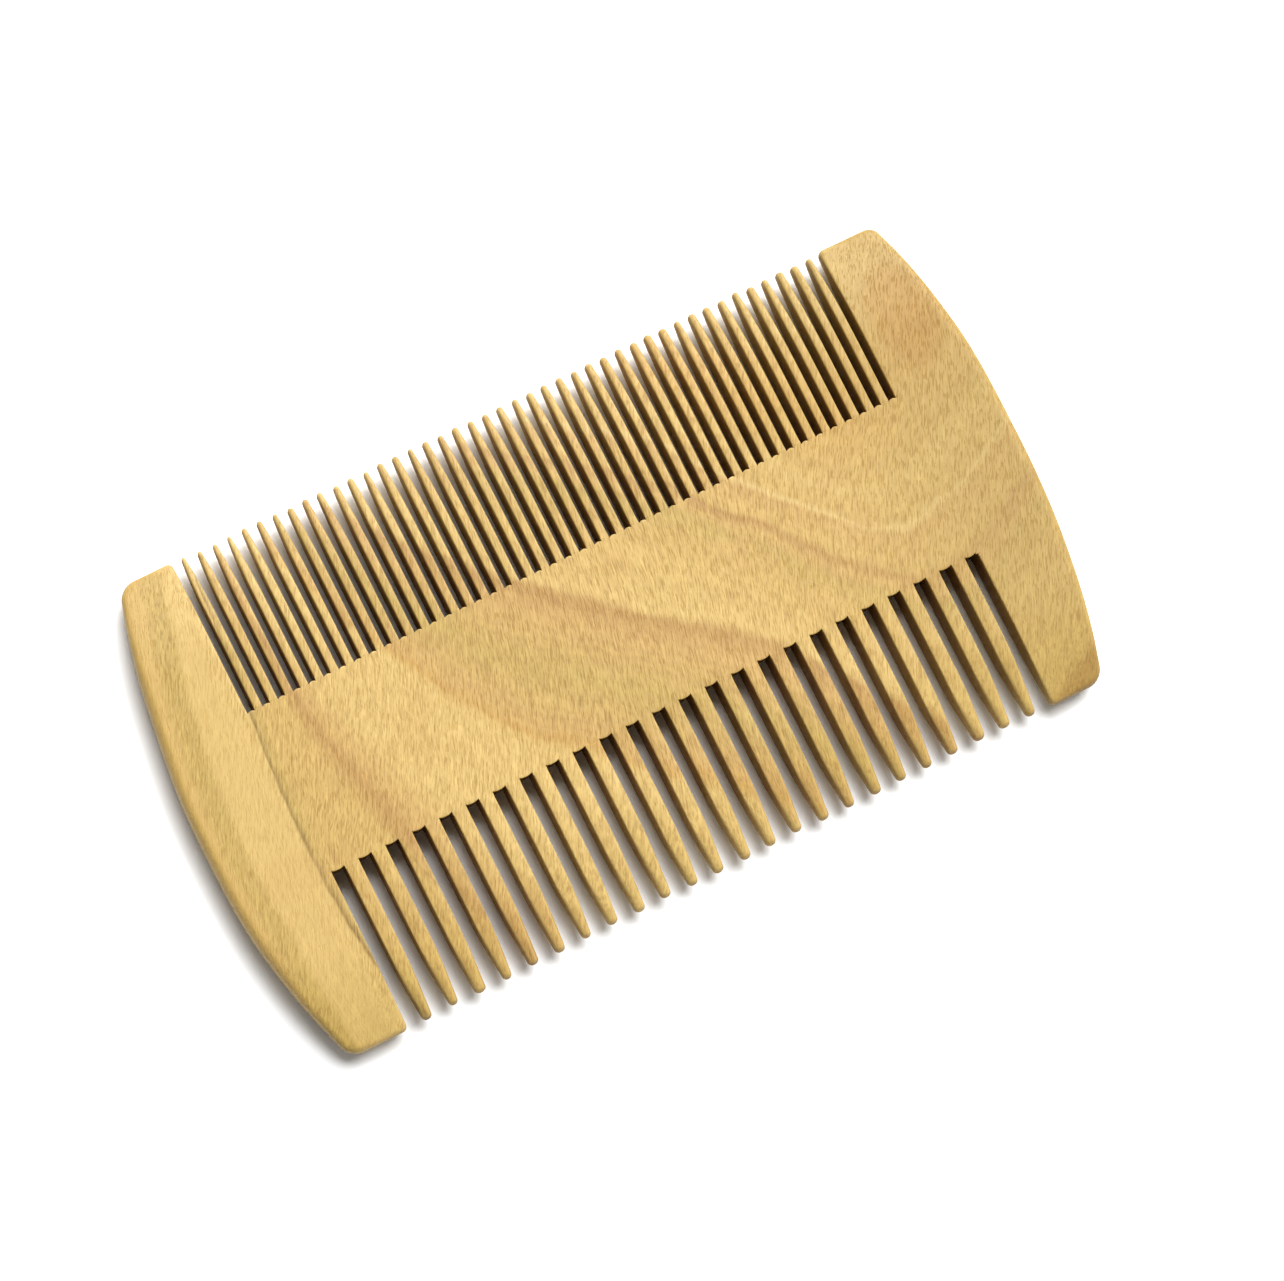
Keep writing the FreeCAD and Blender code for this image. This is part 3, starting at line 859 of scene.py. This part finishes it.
figure = (fibres + 1.05 * fine_fibres) * (1 - 0.55 * quiet) + 0.42 * ring_lines
fibre_colour = Grain.node(tree, "ShaderNodeCombineColor", {}, {
    "Red": 1.01 + 0.72 * figure, "Green": 0.99 + 0.84 * figure, "Blue": 0.97 + 1.10 * figure})
knot = 1 - (((x - 43.5) / 4.0) ** 2 + ((y - 17.5) / 7.0) ** 2 + 0.8 * patches).between(0.1, 1.1)
colour = mixed("MIX", patches.between(0.02, 0.3) * 0.5, ring_colour, PINK)
colour = mixed("MIX", (0 - patches).between(0.02, 0.3) * 0.3, colour, OLIVE)
colour = mixed("MULTIPLY", 1.0, colour, fibre_colour)
colour = mixed("MIX", 0.35 * x.between(18, 42), colour, OLIVE)
# the right end darker: partly the wood's own tone, partly painted shade
colour = mixed("MULTIPLY", x.between(26, 46), colour, RIGHT_END_TONE_AND_SHADE)
colour = mixed("MULTIPLY", 0.8 * knot, colour, KNOT)
colour = mixed("MULTIPLY", 0.5 * pores * (1 - 0.7 * quiet), colour, PORE)
# painted highlight: the edges are mixed towards a paler shade
colour = mixed("MIX", 0.5 * painted_edge_highlight, colour, PALE)
# slot walls darkened a little for the sawn wood, and more as painted shade near the roots
colour = mixed("MULTIPLY", (0.25 + 0.6 * painted_root_shade) * sawn, colour, SAWN_TONE_AND_SHADE)
print(f"{len(tree.nodes)} nodes with the colour")

# %% [markdown]
# Wax fills the pores only partly, so they stay dull, and the raised fibres take a soft shine.
# The relief is about a twentieth of a millimetre deep, too fine to be worth real points.

# %% Its gloss, its relief and the whole shader
RELIEF_DEPTH = 0.00005  # metres
gloss = 0.50 - 0.12 * fibres + 0.16 * pores + 0.22 * sawn
relief = 0.6 * fibres + 0.35 * fine_fibres - 0.8 * pores
bumped = Grain.node(tree, "ShaderNodeBump", {},
                    {"Strength": 0.5, "Distance": RELIEF_DEPTH, "Height": relief})
surface = Grain.node(tree, "ShaderNodeBsdfPrincipled", {}, {
    "Base Color": colour, "Roughness": gloss, "Normal": bumped, "Specular IOR Level": 0.35})
output = tree.nodes.new("ShaderNodeOutputMaterial")
tree.links.new(surface.socket, output.inputs["Surface"])
for piece in pieces:
    piece.data.materials.append(wood)
print(f"{wood.name}: {len(tree.nodes)} nodes on {len(pieces)} pieces")

# %% [markdown]
# The comb is seen from almost straight above, from half a metre away, with the long lens of a
# product shot. The camera stands a little towards the left end and the coarse side, and is
# turned about its own axis so that the comb runs up to the right.

# %% The camera
TARGET = np.array([2.14, -1.9, THICKNESS / MM]) * MM  # the point in the middle of the view
STAND = np.array([-74.76, -36.15, 479.35 + THICKNESS / MM]) * MM
ROLL = math.radians(26.95)
LENS = 129.0  # mm, on a sensor 36 mm wide

look = Vector(TARGET - STAND).normalized()
up_hint = Vector((math.sin(ROLL), math.cos(ROLL), 0))
right = look.cross(up_hint).normalized()
up = right.cross(look)
turned = Matrix((right, up, -look)).transposed().to_4x4()
camera_data = bpy.data.cameras.new("camera")
camera_data.lens = LENS
camera_data.clip_start = 0.01
camera = bpy.data.objects.new("camera", camera_data)
camera.matrix_world = Matrix.Translation(Vector(STAND)) @ turned
bpy.context.scene.collection.objects.link(camera)
bpy.context.scene.camera = camera
print(f"camera {np.linalg.norm(TARGET - STAND):.3f} m from the comb")

# %% [markdown]
# A sheet of matt white paper is the floor, so large that its edge stays out of sight from above.
# It also throws light up into the slots, which is why their walls aren't black.

# %% The floor
FLOOR_REACH = 30.0  # metres from the middle to each edge
PAPER_WHITE = (0.9, 0.9, 0.9, 1)

corners = [(-FLOOR_REACH, -FLOOR_REACH, 0), (FLOOR_REACH, -FLOOR_REACH, 0),
           (FLOOR_REACH, FLOOR_REACH, 0), (-FLOOR_REACH, FLOOR_REACH, 0)]
floor_mesh = bpy.data.meshes.new("floor")
floor_mesh.from_pydata(corners, [], [(0, 1, 2, 3)])
floor = bpy.data.objects.new("floor", floor_mesh)
floor.location.z = LOW[2]
bpy.context.scene.collection.objects.link(floor)
paper = bpy.data.materials.new("floor")
paper.use_nodes = True
paper_sockets = paper.node_tree.nodes["Principled BSDF"].inputs
paper_sockets["Base Color"].default_value = PAPER_WHITE
paper_sockets["Roughness"].default_value = 0.8
floor_mesh.materials.append(paper)
print(f"floor {2 * FLOOR_REACH:.0f} m wide at z = {LOW[2]}")

# %% [markdown]
# Soft light comes from a large square lamp to the upper right, and from a pale wall all round.
# The wall is bright near the horizon and fades to almost nothing overhead: light from straight
# above would reach the bottom of every slot, and their roots should stay dark.

# %% The pale wall all round
WALL_SHINE, OVERHEAD_SHINE = 0.75, 0.05  # brightness up to the first height, and past the second
FADE_FROM, FADE_TO = 0.35, 0.75  # heights of the fade, as the sine of the angle over the horizon

world = bpy.data.worlds.new("studio")
world.use_nodes = True
sky_tree = world.node_tree
direction = Grain.node(sky_tree, "ShaderNodeTexCoord", {}, {}, "Generated")
upward = Grain.node(sky_tree, "ShaderNodeSeparateXYZ", {}, {0: direction}, "Z")
shine = Grain.node(sky_tree, "ShaderNodeMapRange", {}, {
    "Value": upward, "From Min": FADE_FROM, "From Max": FADE_TO,
    "To Min": WALL_SHINE, "To Max": OVERHEAD_SHINE})
background = sky_tree.nodes["Background"]
background.inputs["Color"].default_value = (1, 1, 1, 1)
sky_tree.links.new(shine.socket, background.inputs["Strength"])
bpy.context.scene.world = world
print(f"wall shines {WALL_SHINE}, fading to {OVERHEAD_SHINE} overhead")

# %% The square lamp
LAMP_PLACE = (0.98, 0.92, 1.58)
LAMP_SIDE, LAMP_POWER = 1.9, 131  # metres, watts

lamp_data = bpy.data.lights.new("key", "AREA")
lamp_data.shape = "SQUARE"
lamp_data.size = LAMP_SIDE
lamp_data.energy = LAMP_POWER
lamp = bpy.data.objects.new("key", lamp_data)
lamp.location = LAMP_PLACE
lamp.rotation_euler = (-Vector(LAMP_PLACE)).to_track_quat("-Z", "Y").to_euler()
bpy.context.scene.collection.objects.link(lamp)
bpy.context.scene.view_settings.view_transform = "Standard"
print(f"lamp {LAMP_SIDE} m wide, {Vector(LAMP_PLACE).length:.2f} m away")
